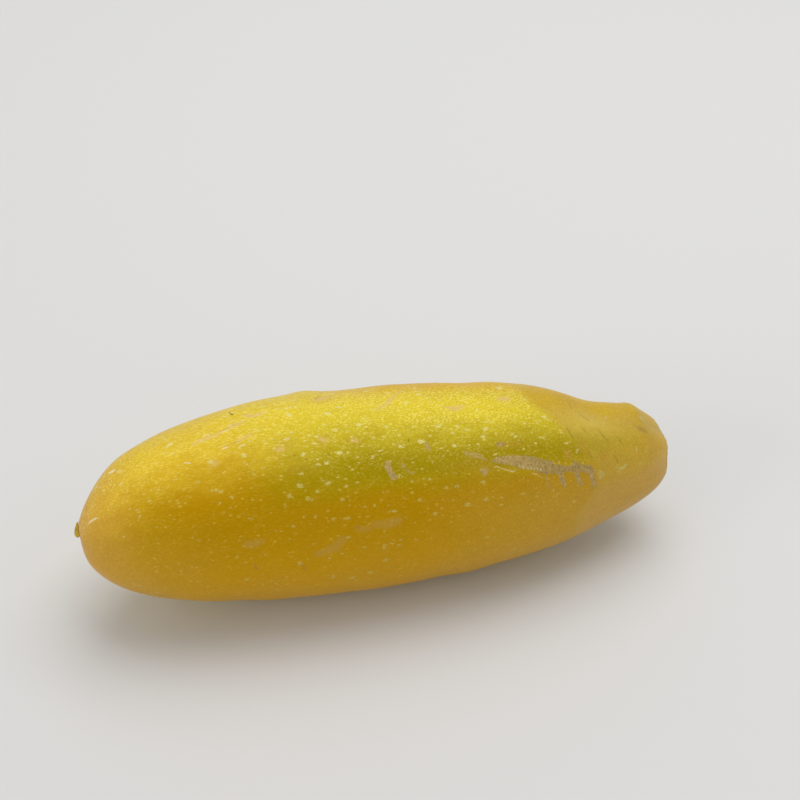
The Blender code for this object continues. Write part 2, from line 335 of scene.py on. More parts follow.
# Large pale flecks: station, angle, half length. They are longer than they are wide
FLECK_LONGER = 1.5
LARGE_FLECKS = (
    # On the sheen
    (19.1, 101.6, 0.3), (27.3, 88.9, 0.47), (29.5, 93.2, 0.45), (39.6, 111, 0.53), (46, 74.6, 0.47),
    (48.3, 110.8, 0.53), (52.6, 92.7, 0.27), (54.7, 91.9, 0.27), (58.2, 99.4, 0.3), (54.3, 103.2, 0.39),
    (56.9, 73.2, 0.65), (62.1, 100.8, 0.53), (66, 72, 0.6), (67.6, 110.5, 0.53), (68.6, 106.4, 0.6),
    (73.4, 91.3, 0.89), (73.9, 104.2, 0.7), (77.4, 68.7, 0.65), (81.1, 102.2, 0.89), (83.2, 97.6, 0.53),
    (84.3, 111.8, 0.36), (88.5, 105.4, 0.53), (93, 74.7, 0.83), (96.2, 106.5, 0.56), (101.6, 70.9, 0.7),
    (102, 100.4, 0.56), (103.1, 107.9, 0.7), (108.6, 108.4, 0.6), (106.8, 112.7, 0.42), (116.2, 97, 0.5),
    (118, 106, 0.5), (128.8, 107.8, 0.45), (130.1, 115.1, 0.3), (132.4, 85, 0.5), (139.3, 115.7, 0.33),
    # In the lime and green
    (40.3, 128.7, 0.45), (41.8, 117.6, 0.56), (48.8, 121.2, 0.39), (49.4, 122.6, 0.27), (52.4, 119.6, 0.42),
    (63.9, 116.2, 0.7), (69.6, 122.9, 0.77), (73.6, 118.3, 0.89), (89.3, 116.4, 0.36), (91.2, 118.2, 0.7),
    (97.1, 116.6, 0.95), (106, 120.9, 0.65), (115, 116.5, 0.65), (124.6, 117.4, 0.53), (133, 119.1, 0.47),
    (88.9, 134.4, 0.7), (61.2, 132.9, 0.83), (68.9, 133.8, 0.74),
    # In the gold
    (12.7, 143.6, 0.27), (18.1, 131.1, 0.27), (21.8, 142, 0.24), (21, 122.7, 0.3), (24.3, 126.6, 0.24),
    (34.6, 119.7, 0.45), (38, 126.8, 0.24), (38.9, 127.3, 0.24), (36.8, 140.4, 0.27), (39, 134.9, 0.39),
    (39.6, 140.5, 0.24), (41.8, 138.4, 0.42), (32.3, 154.7, 0.39), (29.2, 174.6, 0.5), (46.8, 146.6, 0.42),
    (49.2, 169, 0.5), (53.1, 155.8, 0.39), (56.6, 142.8, 0.33), (57.4, 173.4, 0.5), (57.9, 137.2, 0.7),
    (60.8, 149.4, 0.39), (64, 140.7, 0.39), (64.1, 150.3, 0.36), (65.7, 137, 0.53), (69, 152.5, 0.42),
    (70.3, 173.9, 0.45), (73.6, 136.4, 0.47), (73.6, 178.4, 0.45), (76.6, 171.8, 0.6), (76.8, 135.4, 0.45),
    (77.8, 190.7, 0.7), (78, 148.4, 0.47), (80.5, 148.1, 0.47), (82.3, 171.9, 0.47), (82, 174, 0.42),
    (84.1, 171.7, 0.47), (84.4, 152.8, 0.47), (86, 152.8, 0.5), (88.9, 157.1, 0.42), (89.4, 146.8, 0.39),
    (91.3, 172.3, 0.56), (91.4, 143.8, 0.36), (91.9, 137.9, 0.5), (93.2, 148.5, 0.53), (97.1, 138.1, 0.6),
    (97.2, 157.2, 0.65), (97.6, 177.8, 0.5), (99.4, 154.8, 0.47), (100.2, 183.5, 0.33), (101.3, 143.8, 0.65),
    (102.9, 151, 0.3), (103.6, 189.4, 0.47), (104.2, 136.1, 0.36), (104.4, 143.7, 0.6), (107.2, 154, 0.42),
    (108.9, 147.9, 0.39), (110.2, 177.5, 0.36), (112, 178.8, 0.45), (112.3, 142.9, 0.7), (112.6, 153.5, 0.6),
    (113.9, 173.7, 0.53), (116.6, 158, 0.42), (116.9, 153.6, 0.42), (117.1, 172.6, 0.3), (123.3, 174, 0.36),
    (123.5, 153.3, 0.56), (125, 179.7, 0.3), (126.2, 178.9, 0.36), (127.9, 157, 0.42), (133.5, 159.6, 0.47),
)

# Camera: where it stands and looks, in metres
CAMERA_PLACE = (-0.06924, -0.28858, 0.29332)
CAMERA_AIM = (0.01311, 0.0123, 0.04961)
CAMERA_LENS = 60
SENSOR_WIDTH = 36
NEAREST_SEEN = 0.01

# Light, in metres: a large soft box above and a little behind, and a weak one from the left
SOFTBOX_PLACE = (0.30, 0.274, 1.38)
SOFTBOX_SIDES = (1.44, 1.12)
SOFTBOX_ENERGY = 11.2
FILL_PLACE = (-1.1, -0.3, 0.35)
FILL_ENERGY = 0.64
FILL_SPREAD = math.radians(33)
LAMP_AIM = (0, 0, 0.03)
ROOM_LIGHT = 0.53
FLOOR_HALF = 3.0


def profile_radius(station):
    """Radius of the plain profile: an ellipse-like power curve times a polynomial, less the waist."""
    t = 2 * station / LENGTH - 1
    skew = 1 + sum(k * t ** (power + 1) for power, k in enumerate(PROFILE_SKEW))
    radius = GIRTH_RADIUS * np.clip(1 - t * t, 0, 1) ** (1 / END_ROUNDNESS) * skew
    waist = WAIST_DEPTH * np.exp(-(((station - WAIST_STATION) / WAIST_LENGTH) ** 2))
    return radius * (1 - waist / GIRTH_RADIUS)


def bend(station):
    """How far the centre line lies to one side: a bow and a twist that are 0 at both ends."""
    t = 2 * station / LENGTH - 1
    return (BEND_BOW + BEND_TWIST * t) * (1 - t * t)


def centre_line(station):
    """Point of the centre line: a bend that lies flat, a slope, and a shift that fades from the tip."""
    inside = np.clip(station, 0, LENGTH)
    fade = np.exp(-inside / TIP_SHIFT_LENGTH)
    along = station - REST_STATION + fade * TIP_SHIFT[0]
    side = bend(inside) - bend(REST_STATION) + fade * TIP_SHIFT[1]
    return along, side, PITCH * (inside - REST_STATION) + fade * TIP_SHIFT[2]


def turned_from(angle, other):
    """Signed turn in degrees from one angle to the other, between -180 and 180."""
    return (angle - other + 180) % 360 - 180


def rib_wave(angle):
    """1 on a rib's crest and -1 midway between two ribs."""
    return np.cos(np.radians(RIB_COUNT * (angle - RIB_PHASE)))


def relief(station, angle):
    """Height of the ribs, which fade along the fruit, and of the bell-shaped lumps."""
    fade = np.exp(-(((LENGTH - station) / RIB_FADE_LENGTH) ** 2))
    rib = RIB_HEIGHT_AT_BELLY + (RIB_HEIGHT_AT_STEM - RIB_HEIGHT_AT_BELLY) * fade
    height = rib * rib_wave(angle)
    for middle, direction, rise, half_length, half_angle in LUMPS:
        along = (station - middle) / half_length
        around = turned_from(angle, direction) / half_angle
        height = height + rise * np.exp(-along * along - around * around)
    return height * np.minimum(1, profile_radius(station) / RELIEF_FADE_RADIUS)


def smooth_step(low, high, x):
    """0 up to low, 1 from high on and an S curve between them; low may be above high."""
    t = np.clip((x - low) / (high - low), 0, 1)
    return t * t * (3 - 2 * t)


def window(x, low, high, soft):
    """1 between low and high and 0 outside, with an S curve across each, soft wide on either side."""
    return smooth_step(low - soft, low + soft, x) - smooth_step(high - soft, high + soft, x)


def ramp(x, low, high):
    """0 at low, 1 at high and a straight line between them; low may be above high."""
    return np.clip((x - low) / (high - low), 0, 1)


def bell(x, middle, reach):
    """1 in the middle, about a third one reach away and next to nothing two reaches away."""
    return np.exp(-(((x - middle) / reach) ** 2))


def uneven(station, angle):
    """A gentle unevenness: a sum of cosine waves that run along and round in seeded directions."""
    draw = np.random.default_rng(UNEVEN_SEED)
    height = 0
    for _ in range(UNEVEN_WAVES):
        turns = draw.integers(-UNEVEN_TURNS, UNEVEN_TURNS + 1)
        length = draw.uniform(*UNEVEN_LENGTHS)
        phase = draw.uniform(0, 2 * math.pi)
        height = height + np.cos(2 * math.pi * station / length + np.radians(turns * angle) + phase)
    return UNEVEN_HEIGHT * height * np.minimum(1, profile_radius(station) / UNEVEN_FADE_RADIUS)


def folds(distance, angle, count, sway, length):
    """Folds round a dry end: a cosine round it that sways with the ribs and dies out with distance."""
    wave = np.cos(np.radians(count * angle) + sway * rib_wave(angle))
    return PUCKER_HEIGHT * wave * np.exp(-distance / length)


def puckers(station, angle):
    """Folds of the skin that run into the two dry ends."""
    from_scar = skin_ends()[1] - station
    return folds(station, angle, *FOOT_PUCKERS) + folds(from_scar, angle, *SCAR_PUCKERS)


def stroke_distance(station, angle, strokes):
    """Signed distance to the nearest stroke, below 0 inside it: for each run between two points,
    the distance to the nearest place on the run, less the half width there."""
    nearest = np.full(np.broadcast(station, angle).shape, FAR_AWAY)
    for stroke in strokes:
        for (s0, a0, w0), (s1, a1, w1) in zip(stroke, stroke[1:]):
            arc = math.radians(1) * float(profile_radius((s0 + s1) / 2))
            x, y = station - s0, turned_from(angle, a0) * arc
            dx, dy = s1 - s0, turned_from(a1, a0) * arc
            share = np.clip((x * dx + y * dy) / (dx * dx + dy * dy), 0, 1)
            distance = np.hypot(x - share * dx, y - share * dy) - (w0 + share * (w1 - w0))
            nearest = np.minimum(nearest, distance)
    return nearest


def fleck_distance(station, angle):
    """Signed distance to the nearest large fleck, an oval that is longer than it is wide."""
    nearest = np.full(np.broadcast(station, angle).shape, FAR_AWAY)
    for s, a, size in LARGE_FLECKS:
        arc = math.radians(1) * float(profile_radius(s))
        reach = np.hypot(station - s, FLECK_LONGER * turned_from(angle, a) * arc)
        nearest = np.minimum(nearest, reach - size)
    return nearest


def stains(station, angle, rows):
    """Strength of the soft stains: a sum of bells, up to 1."""
    total = 0
    for middle, direction, half_length, half_angle, strength in rows:
        around = bell(turned_from(angle, direction), 0, half_angle)
        total = total + strength * bell(station, middle, half_length) * around
    return np.minimum(1, total)


def station_of_radius(radius, low, high):
    """Station between low and high where the profile has this radius, by bisection."""
    rising = profile_radius(low) < radius
    for _ in range(HALVINGS):
        middle = (low + high) / 2
        if (profile_radius(middle) < radius) == rising:
            low = middle
        else:
            high = middle
    return (low + high) / 2


def skin_ends():
    """Stations of the skin's first and last rings."""
    start = station_of_radius(SKIN_START_RADIUS, 0, LENGTH / 4)
    end = station_of_radius(SKIN_END_RADIUS, LENGTH * 3 / 4, LENGTH)
    return start, end


def spread(low, high, count, density):
    """Count places from low to high, as close together as density says: its running sum, read backwards."""
    fine = np.linspace(low, high, DENSITY_STEPS)
    step = density((fine[1:] + fine[:-1]) / 2)
    total = np.concatenate([[0], np.cumsum(step)])
    return np.interp(np.linspace(0, total[-1], count), total, fine)


def skin_stations():
    """Stations of the skin's rings: closer together towards both ends and where the skin is marked."""
    def density(station):
        t = 2 * station / LENGTH - 1
        return 1 / np.sqrt(1 - t * t) + RINGS_CLOSER * window(station, *MARKED_STATIONS)

    start, end = skin_ends()
    return spread(start, end, SKIN_RINGS, density)


def places_round():
    """Angles of the places round the fruit, once round from underneath, closer where it is marked."""
    def density(angle):
        return 1 + SIDES_CLOSER * window(angle, *MARKED_ANGLES)

    return spread(-90, 270, SIDES + 1, density)


def smooth_run(points, count):
    """Count points on the smooth curve through the given ones: a cubic between each two points, with
    the slope of the chord between its neighbours at each point."""
    knots = np.array(points, float)
    padded = np.vstack([2 * knots[0] - knots[1], knots, 2 * knots[-1] - knots[-2]])
    slope = (padded[2:] - padded[:-2]) / 2
    t = np.linspace(0, len(knots) - 1, count)
    index = np.minimum(t.astype(int), len(knots) - 2)
    u = (t - index)[:, None]
    first, second = knots[index], knots[index + 1]
    return ((2 * u**3 - 3 * u**2 + 1) * first + (u**3 - 2 * u**2 + u) * slope[index]
            + (3 * u**2 - 2 * u**3) * second + (u**3 - u**2) * slope[index + 1])


def waves(rows, angle, along):
    """Sum of cosines round the fruit, each with a height, a number of waves and a twist along it."""
    height = 0
    for rise, count, twist in rows:
        height = height + rise * np.cos(np.radians(count * angle) + twist * along)
    return height


def foot_rings(angle):
    """Stations and radii of the blossom foot: a smooth run of rings, made lobed and slanted, with
    crinkles, creases and a dip in its middle, all of which fade before the skin."""
    start = skin_ends()[0]
    run = smooth_run(BLOSSOM_FOOT + ((start, SKIN_START_RADIUS),), FOOT_RINGS + 1)[:-1]
    station, radius = run[:, :1], run[:, 1:]
    ring = np.arange(FOOT_RINGS)[:, None] / FOOT_RINGS
    lobe = FOOT_LOBE_SHARE * window(ring, 0.1, 0.86, 0.12)
    crinkle = waves(FOOT_CRINKLES, angle, ring) * window(ring, 0.2, 0.8, 0.12)
    lobed = radius * (1 + lobe * rib_wave(angle) + crinkle)
    slant = FOOT_SLANT * radius * np.sin(np.radians(angle)) * (1 - smooth_step(0.8, 1.0, ring))
    dip = FOOT_DIP * bell(radius, 0, FOOT_DIP_RADIUS)
    crease = waves(FOOT_CREASES, angle, ring) * window(ring, 0.15, 0.7, 0.1)
    return station + slant + dip + crease, lobed


def bundles(radius, angle):
    """1 on each of the fibre bundles that stand in a ring in the stem scar, 0 away from them: a bell
    across the ring times the crests of a cosine round it, two bundles to a rib."""
    ring = bell(radius, BUNDLE_RING_RADIUS, BUNDLE_REACH)
    return ring * np.maximum(0, np.cos(np.radians(2 * RIB_COUNT * (angle - RIB_PHASE)))) ** 3


def scar_rings(angle):
    """Stations and radii of the stem scar, rim first: a smooth run of rings, made five-cornered, with
    spiral fibres and bundles on its floor and notches in its rim."""
    end = skin_ends()[1]
    run = smooth_run(((0.0, SKIN_END_RADIUS),) + STEM_SCAR, SCAR_RINGS + 1)[1:]
    height, radius = run[:, :1], run[:, 1:]
    ring = (1 + np.arange(SCAR_RINGS)[:, None]) / SCAR_RINGS
    share = SCAR_LOBE_SHARE * (1 - smooth_step(0.85, 1.0, ring))
    lobed = radius * (1 + share * rib_wave(angle))
    fibre = waves(SCAR_FIBRES, angle, radius) * window(radius, 1.0, 6.4, 0.5)
    notch = waves(SCAR_NOTCHES, angle, radius) * window(radius, 6.8, 8.2, 0.5)
    return end + height + fibre + BUNDLE_HEIGHT * bundles(radius, angle) + notch, lobed


def settled(height):
    """Height after the belly is pressed flat: 0 in the spot, then eased into the skin."""
    eased = (height - SPOT_DEPTH) ** 2 / (4 * SPOT_DEPTH)
    above = np.where(height < 3 * SPOT_DEPTH, eased, height - 2 * SPOT_DEPTH)
    return np.where(height <= SPOT_DEPTH, 0, above)


def belly_depth(stations):
    """How far the lowest plain skin lies below the centre line at the flat spot."""
    drop = profile_radius(stations) + relief(stations, 270.0)
    return float((drop - centre_line(stations)[2]).max())


def skin_radius(along, angle):
    """Radius of the skin: profile, ribs and lumps, plus the unevenness away from the flat spot, the
    puckers, knobbly cork that stands up inside its strokes, and scratches cut into it."""
    at_spot = window(angle % 360, *SPOT_ANGLES) * window(along, *SPOT_STATIONS)
    near_ends = np.minimum(1, profile_radius(along) / RELIEF_FADE_RADIUS)
    fine = uneven(along, angle) * (1 - at_spot) * near_ends
    turns_along, turns_round = KNOB_TURNS
    knobs = 1 + KNOB_SHARE * np.cos(turns_along * along) * np.cos(np.radians(turns_round * angle))
    in_cork = smooth_step(*CORK_EDGE, stroke_distance(along, angle, CORK_STROKES))
    in_scratch = smooth_step(*SCRATCH_EDGE, stroke_distance(along, angle, SCRATCH_STROKES))
    plain = profile_radius(along) + relief(along, angle) + fine + puckers(along, angle)
    return plain + CORK_HEIGHT * in_cork * knobs - SCRATCH_DEPTH * in_scratch


def fruit_surface():
    """Stations, radii and angles of every place on the fruit, ring by ring from blossom to stem."""
    angle = places_round()[None, :-1]
    along = skin_stations()[:, None]
    foot_station, foot_radius = foot_rings(angle)
    scar_station, scar_radius = scar_rings(angle)
    station = np.vstack([foot_station, along + 0 * angle, scar_station])
    radius = np.vstack([foot_radius, skin_radius(along, angle), scar_radius])
    return station, radius, angle + 0 * station


def surface_points(station, radius, angle):
    """Points in metres: out from the centre line by the radius, then set down on the flat spot."""
    along, side, lift = centre_line(station)
    height = belly_depth(skin_stations()) + lift + radius * np.sin(np.radians(angle))
    return MM * np.stack([along, side + radius * np.cos(np.radians(angle)), settled(height)], -1)


def above_ground(angle):
    """1 over the top and down the front, falling to 0 underneath and staying there up to the back."""
    return ramp(angle, 250, 212)


def side_zones(station, angle):
    """How far each broad colour of the sides reaches, from 0 to 1, with a painted sheen near the top and a
    painted reflection along the top edge: products of ramps along and round the fruit, some of whose limits
    follow the station."""
    gold_start = np.interp(station, (10, 44, 66, 116, 134, 150), (90, 94, 118, 125, 129, 132))
    gold_full = np.interp(station, (10, 44, 66, 116, 141), (132, 134, 140, 141, 146))
    gold = ramp(angle, gold_start, gold_full) * above_ground(angle)
    gold = gold * np.interp(station, (-4, 4, 16, 34), (0, 0.6, 0.85, 1))
    green = ramp(angle, 100, 125) * ramp(angle, 148, 133) * ramp(station, 45, 62) * ramp(station, 152, 145)
    green = green * np.interp(station, (60, 88, 103, 116, 140), (0.85, 1, 0.93, 1, 0.95))
    lime = ramp(angle, 66, 94) * ramp(angle, 146, 130) * ramp(station, 44, 72) * ramp(station, 152, 144)
    amber = ramp(angle, 150, 182) * above_ground(angle)
    blossom_tan = ramp(angle, 140, 180) * ramp(station, 40, 6)
    stem_tan = ramp(angle, 130, 163) * ramp(station, 92, 133)
    tan = np.maximum(blossom_tan, stem_tan) * above_ground(angle)
    # Painted reflection: the top edge made a deeper orange-yellow, without blue
    crest = ramp(angle, 79, 66) * ramp(angle, 20, 40) * ramp(station, 72, 100) * ramp(station, 150, 130)
    # Painted sheen: a lighter band along the lit top, its middle moving round the fruit towards the stem end
    bright_middle = np.interp(station, (60, 100, 125), (81, 88, 96))
    painted_sheen = bell(angle, bright_middle, 15) * ramp(station, 35, 58) * ramp(station, 142, 120)
    ground = window(angle, 256, 290, 16) * window(station, 45, 128, 22)
    return {"gold": gold, "green": green, "lime": lime, "amber": amber, "tan": tan, "crest": crest,
            "painted_sheen": painted_sheen, "ground": ground, "blossom_end": ramp(station, 20, 1)}


def stem_zones(station, angle):
    """How far the colours of the stem end reach, from 0 to 1: its edge follows the angle, sharp on the
    lit side and soft at the back, and bells and ramps place the rest behind it."""
    edge = np.interp(angle, (0, 60, 90, 100, 115, 130, 140, 155, 170, 180, 200, 300, 360),
                     (134, 130, 134, 138, 140, 144, 148, 149, 146, 142, 141, 139, 134))
    back = ramp(abs(turned_from(angle, -12)), 84, 52)
    soft = 2 + 13 * back
    stem_end = ramp(station, edge - soft, edge + soft)
    olive = bell(angle, 123, 13) * ramp(station, 172, 150)
    rose = ramp(angle, 152, 168) * ramp(station, edge - 1, edge + 1.5) * above_ground(angle)
    gold = ramp(angle, 98, 84) * ramp(angle, 8, 50) * ramp(station, 170, 158)
    pale = bell(station, 149, 9) * bell(angle, 107, 15)
    line = bell(station, edge, 0.4) * window(angle, 158, 192, 5)
    return {"back": back, "stem_end": stem_end, "stem_olive": olive, "stem_rose": rose,
            "stem_gold": gold, "stem_pale": pale, "stem_line": line}


def texture_zones(station, angle):
    """Where the texture changes, from 0 to 1, and painted light and shade that are added to the colour's
    lightness.
    """
    # Painted shade over the top of the stem end and lighter low on its front; painted light on the upper side
    # near the blossom end
    stem_painted_light_and_shade = 0.12 * ramp(station, 155, 168) * (bell(angle, 150, 14) - bell(angle, 102, 18))
    shade = stem_painted_light_and_shade + 0.06 * ramp(station, 52, 36) * bell(angle, 100, 22)
    hatched = ramp(station, 78, 50) + ramp(station, 150, 160)
    comb_end = ramp(station, 121, 131) * ramp(angle, 147, 143)
    below = ramp(angle, 102, 118) * ramp(angle, 345, 270)
    calm_below = below * np.interp(station, (60, 100, 130), (0.8, 0.55, 1.0))
    calm = np.maximum(0.75 * ramp(station, 52, 30), calm_below)
    return {"shade": shade, "hatched": hatched, "comb_end": comb_end, "calm": calm,
            "stem_side": ramp(station, 90, 125)}


def end_zones(radius, angle):
    """How far the parts of the two dry ends reach, from 0 to 1, by ring and by radius."""
    ring = np.arange(len(radius))[:, None] + 0 * angle
    foot = 1 - smooth_step(FOOT_RINGS - 3, FOOT_RINGS + 1, ring)
    in_scar = smooth_step(FOOT_RINGS + SKIN_RINGS, FOOT_RINGS + SKIN_RINGS + 2, ring)
    return {"foot": foot, "stem_scar": in_scar * smooth_step(7.0, 6.4, radius),
            "pith": in_scar * smooth_step(6.1, 5.3, radius), "bundles": in_scar * bundles(radius, angle)}


def closed_grid(name, points):
    """A mesh over rings of places round the fruit: four-sided faces between neighbouring rings, and a
    fan at each end, where the first and the last ring are drawn together into one point."""
    rings, sides = points.shape[:2]
    body = points[1:-1].reshape(-1, 3)
    tips = np.stack([points[0].mean(0), points[-1].mean(0)])
    vertices = np.concatenate([body, tips])
    index = np.arange((rings - 2) * sides).reshape(rings - 2, sides)
    near, far = index[:-1], index[1:]
    quads = np.stack([near, far, np.roll(far, -1, 1), np.roll(near, -1, 1)], -1).reshape(-1, 4)
    first, last = index[0], index[-1]
    fan = [np.stack([np.full(sides, len(body)), first, np.roll(first, -1)], -1)]
    fan += [np.stack([np.full(sides, len(body) + 1), np.roll(last, -1), last], -1)]
    mesh = bpy.data.meshes.new(name)
    mesh.from_pydata(vertices.tolist(), [], quads.tolist() + np.concatenate(fan).tolist())
    mesh.shade_smooth()
    return mesh


def point_values(mesh, name, grid):
    """Carries a grid of numbers to the mesh's points as an attribute; each tip takes its ring's mean."""
    tips = [grid[0].mean(), grid[-1].mean()]
    values = np.concatenate([grid[1:-1].ravel(), tips]).astype(np.float32)
    mesh.attributes.new(name, "FLOAT", "POINT").data.foreach_set("value", values)


def build_fruit():
    """The fruit's mesh with the numbers that its material reads."""
    station, radius, angle = fruit_surface()
    mesh = closed_grid("zucchini_fruit", surface_points(station, radius, angle))
    numbers = {name: stroke_distance(station, angle, strokes) for name, strokes in STROKES.items()}
    numbers["large_fleck"] = fleck_distance(station, angle)
    numbers["rust"] = stains(station, angle, RUST_STAINS)
    once_round = angle % 360
    numbers.update(side_zones(station, once_round))
    numbers.update(stem_zones(station, once_round))
    numbers.update(texture_zones(station, once_round))
    numbers.update(end_zones(radius, angle))
    numbers["radius"] = radius
    numbers["turn_cosine"] = np.cos(np.radians(angle))
    numbers["turn_sine"] = np.sin(np.radians(angle))
    for name, grid in numbers.items():
        point_values(mesh, name, grid)
    fruit = bpy.data.objects.new("zucchini_fruit", mesh)
    bpy.context.scene.collection.objects.link(fruit)
    return fruit


class Wire:
    """An output socket. Its operators add Math nodes, so that shader maths reads as an expression."""

    def __init__(self, paint, socket):
        self.paint = paint
        self.socket = socket

    def math(self, operation, *values, clamp=False):
        """Adds a Math node that works on the values in turn."""
        settings = {"operation": operation, "use_clamp": clamp}
        return self.paint.node("ShaderNodeMath", settings, dict(enumerate(values)))

    def __add__(self, other):
        return self.math("ADD", self, other)

    def __radd__(self, other):
        return self.math("ADD", other, self)

    def __sub__(self, other):
        return self.math("SUBTRACT", self, other)

    def __rsub__(self, other):
        return self.math("SUBTRACT", other, self)

    def __mul__(self, other):
        return self.math("MULTIPLY", self, other)

    def __rmul__(self, other):
        return self.math("MULTIPLY", other, self)

    def clamped(self):
        """The number kept between 0 and 1."""
        return self.math("ADD", self, 0.0, clamp=True)

    def at_least(self, other):
        """The greater of the two."""
        return self.math("MAXIMUM", self, other)

    def step(self, low, high):
        """0 at low and 1 at high with an S curve between; low may be above high."""
        settings = {"interpolation_type": "SMOOTHSTEP"}
        if low < high:
            return self.paint.node("ShaderNodeMapRange", settings, {0: self, 1: low, 2: high})
        return self.paint.node("ShaderNodeMapRange", settings, {0: self, 1: high, 2: low, 3: 1.0, 4: 0.0})


class Paint:
    """A material and the nodes added to it."""

    def __init__(self, name):
        self.material = bpy.data.materials.new(name)
        self.material.use_nodes = True
        self.shader = self.material.node_tree.nodes["Principled BSDF"]

    def node(self, kind, settings, sockets, output=0):
        """Adds a node: first its settings, then the values or links of its sockets."""
        node = self.material.node_tree.nodes.new(kind)
        for name, value in settings.items():
            setattr(node, name, value)
        for key, value in sockets.items():
            if isinstance(value, Wire):
                self.material.node_tree.links.new(value.socket, node.inputs[key])
            else:
                node.inputs[key].default_value = value
        return Wire(self, node.outputs[output])

    def number(self, name):
        """A number that the mesh carries."""
        return self.node("ShaderNodeAttribute", {"attribute_name": name}, {}, "Fac")

    def coordinates(self, along=1.0, shift=0.0):
        """Object coordinates in millimetres, with the fruit's length scaled by along."""
        plain = self.node("ShaderNodeTexCoord", {}, {}, "Object")
        scale = (along / MM, 1 / MM, 1 / MM)
        sockets = {"Vector": plain, "Scale": scale, "Location": (shift, shift, shift)}
        return self.node("ShaderNodeMapping", {}, sockets)

    def noise(self, where, size, detail, roughness=0.5):
        """Noise from 0 to 1 whose blobs are about size across."""
        sockets = {"Vector": where, "Scale": 1 / size, "Detail": detail, "Roughness": roughness}
        return self.node("ShaderNodeTexNoise", {}, sockets)

    def dots(self, where, size):
        """Points scattered about size apart: the distance to the nearest, in sizes, and its own number."""
        distance = self.node("ShaderNodeTexVoronoi", {}, {"Vector": where, "Scale": 1 / size})
        own = Wire(self, distance.socket.node.outputs["Color"])
        return distance, self.node("ShaderNodeSeparateColor", {}, {0: own})

    def scaled(self, tone, factor):
        """A colour made lighter or darker."""
        return self.node("ShaderNodeVectorMath", {"operation": "SCALE"}, {0: tone, "Scale": factor})

    def mix(self, factor, first, second):
        """Colours mixed by a factor: the first at 0 and the second at 1."""
        return self.node("ShaderNodeMix", {"data_type": "RGBA"}, {0: factor, 6: first, 7: second}, 2)

    def layered(self, tone, *layers):
        """A colour with others laid over it in turn, each given as its strength and the colour."""
        for strength, over in layers:
            tone = self.mix(strength, tone, over)
        return tone

    def link(self, socket, wire):
        """Feeds a wire to a socket of the material's shader."""
        self.material.node_tree.links.new(wire.socket, self.shader.inputs[socket])


def colour(red, green, blue):
    """A linear colour that hides what is under it."""
    return (red, green, blue, 1.0)


# Broad colours of the sides, with a painted sheen near the top and a painted reflection along the top edge
YELLOW = colour(0.83, 0.575, 0.032)
TOP_EDGE_PAINTED_REFLECTION = colour(0.81, 0.475, 0.0)
PAINTED_SHEEN_YELLOW = colour(0.98, 0.77, 0.04)
LIME = colour(0.74, 0.575, 0.018)
GREEN = colour(0.40, 0.29, 0.0)
GOLD = colour(0.54, 0.285, 0.0)
AMBER = colour(0.64, 0.335, 0.001)
GROUND = colour(0.78, 0.58, 0.20)
TAN = colour(0.63, 0.36, 0.038)

# The two ends and the stains; the blossom end's beige is partly its own colour and partly a painted grazing
# sheen
BLOSSOM_BEIGE_AND_SHEEN = colour(0.67, 0.355, 0.045)
STEM_BEIGE = colour(0.635, 0.405, 0.048)
STEM_PALE = colour(0.70, 0.53, 0.075)
STEM_OLIVE = colour(0.46, 0.325, 0.018)
STEM_ROSE = colour(0.655, 0.385, 0.075)
STEM_GOLD = colour(0.66, 0.415, 0.014)
STEM_LINE = colour(0.62, 0.52, 0.16)
RUST = colour(0.54, 0.30, 0.035)

# Grains, dots and marks; those with GOLD in their name lie on the riper skin. PALE also colours the grains'
# painted glints on the sheen
PALE = colour(0.90, 0.80, 0.27)
PALE_GOLD = colour(0.74, 0.52, 0.08)
FLECK = colour(0.86, 0.80, 0.34)
FLECK_GOLD = colour(0.66, 0.55, 0.15)
DAB = colour(0.66, 0.64, 0.26)
CORK = colour(0.46, 0.308, 0.112)
CORK_PALE = colour(0.56, 0.395, 0.16)
CORK_DARK = colour(0.24, 0.15, 0.035)
GRAZE = colour(0.80, 0.55, 0.20)
GRAZE_GOLD = colour(0.57, 0.335, 0.075)
SMUDGE = colour(0.36, 0.22, 0.06)
NICK = colour(0.26, 0.17, 0.01)
SCRATCH = colour(0.94, 0.80, 0.52)
FRINGE = colour(0.76, 0.60, 0.27)
SCRATCH_GOLD = colour(0.70, 0.50, 0.16)
SPECK = colour(0.14, 0.09, 0.015)

# The dry ends
FOOT = colour(0.56, 0.28, 0.025)
FOOT_PALE = colour(0.66, 0.50, 0.06)
FOOT_DARK = colour(0.20, 0.11, 0.025)
SCAR_RIM = colour(0.34, 0.22, 0.06)
SCAR_CORK = colour(0.52, 0.37, 0.15)
SCAR_PALE = colour(0.66, 0.52, 0.26)
SCAR_DARK = colour(0.26, 0.16, 0.05)

# The floor and the room
FLOOR = colour(0.72, 0.715, 0.705)
ROOM = colour(1.0, 1.0, 1.0)

# Finish: the fresh skin is waxy, and the dry parts are rougher
WAXY_TINT = colour(1.0, 0.86, 0.12)
WAXY_ROUGHNESS = 0.38
WAXY_SPECULAR = 0.29
DRY_ROUGHER = 0.42
FLOOR_ROUGHNESS = 0.9

# Texture: about how far apart grains, dots and pricks are, and how close the streaks are
GRAIN_SPACING = 0.68
LONG_GRAIN_SPACING = 0.6
TINY_DOT_SPACING = 1.3
SMALL_DOT_SPACING = 3.4
PRICK_SPACING = 0.62
STREAK_DENSITY = 7
STRAY_REACH = 2.5

# Edges of the marks: how ragged they are, and the distances at which a mark starts and is full
MARK_EDGES = {
    "large_fleck": (1.7, 0.25, -0.35),
    "dab": (0.5, 0.28, -0.1),
    "smudge": (0.5, 0.25, -0.25),
    "nick": (0.4, 0.4, -0.15),
    "cork": (0.8, 0.15, -0.2),
    "thin_cork": (1.2, 0.35, -0.3),
    "fringe": (0.25, 0.12, -0.08),
    "scratch": (0.2, 0.12, -0.08),
    "speck": (0.2, 0.12, -0.12),
}


